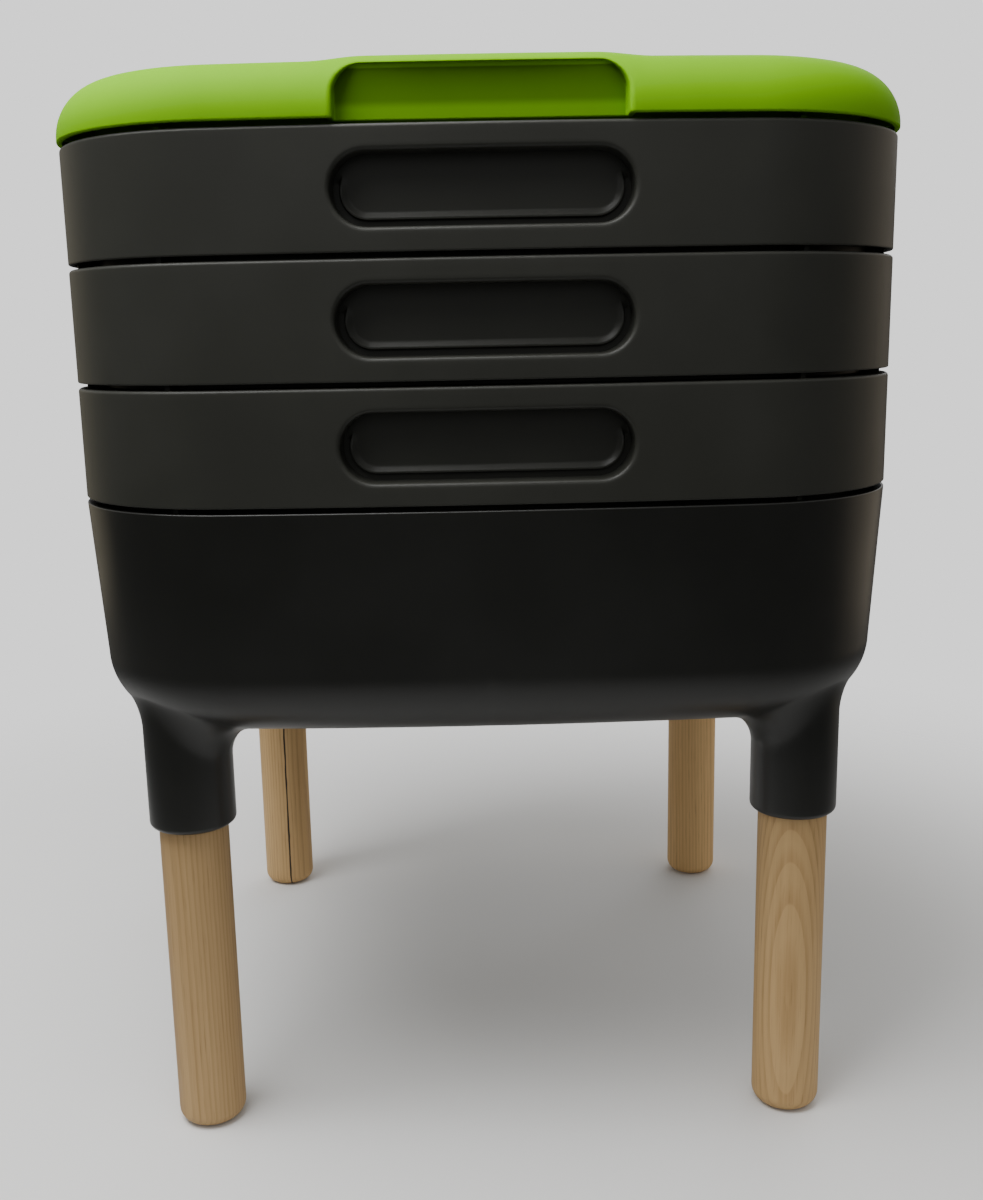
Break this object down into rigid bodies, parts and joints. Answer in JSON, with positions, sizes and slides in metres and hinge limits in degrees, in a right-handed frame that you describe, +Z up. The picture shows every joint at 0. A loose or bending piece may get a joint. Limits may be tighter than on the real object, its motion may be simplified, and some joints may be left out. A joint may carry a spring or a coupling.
{
  "type": "stacking wormery",
  "caption": "Stacking worm composter: nesting trays with finger pockets and slotted floors, a domed lid with grips, and a liquid collector with a drain tap on round wooden legs.",
  "frame": {"origin": "on the floor, under the centre of the shared footprint of the trays and the collector", "axes": "+Z up, +Y towards the drain tap at the back, +X to the right as seen from the front"},
  "size_m": [0.3918, 0.4205, 0.501],
  "materials": {
    "lid_green": "fine moulded texture, satin",
    "moulded_black": "fine moulded texture, satin",
    "ash_wood": "sanded ash, unvarnished",
    "tap_plastic": "smooth moulding",
    "seal_rubber": "soft black rubber"
  },
  "bodies": {
    "collector": {"collector_base": "moulded_black", "front_left_leg": "ash_wood", "front_right_leg": "ash_wood", "rear_left_leg": "ash_wood", "rear_right_leg": "ash_wood", "tap_body": "tap_plastic", "outer_washer": "seal_rubber", "inner_washer": "seal_rubber", "tap_nut": "tap_plastic"},
    "lower_tray": {"lower_tray": "moulded_black"},
    "middle_tray": {"middle_tray": "moulded_black"},
    "upper_tray": {"upper_tray": "moulded_black"},
    "lid": {"lid": "lid_green"},
    "tap_lever": {"tap_lever": "tap_plastic", "plug_seal": "seal_rubber"}
  },
  "joints": [
    {"name": "lower_tray_lift", "type": "slide", "parent": "collector", "child": "lower_tray", "axis": [0, 0, 1], "range_m": [0, 0.12]},
    {"name": "middle_tray_lift", "type": "slide", "parent": "lower_tray", "child": "middle_tray", "axis": [0, 0, 1], "range_m": [0, 0.12]},
    {"name": "upper_tray_lift", "type": "slide", "parent": "middle_tray", "child": "upper_tray", "axis": [0, 0, 1], "range_m": [0, 0.12]},
    {"name": "lid_lift", "type": "slide", "parent": "upper_tray", "child": "lid", "axis": [0, 0, 1], "range_m": [0, 0.12]},
    {"name": "tap_turn", "type": "hinge", "parent": "collector", "child": "tap_lever", "pos_m": [0, 0.21598, 0.248], "axis": [0, 0, -1], "range_deg": [0, 90]}
  ]
}
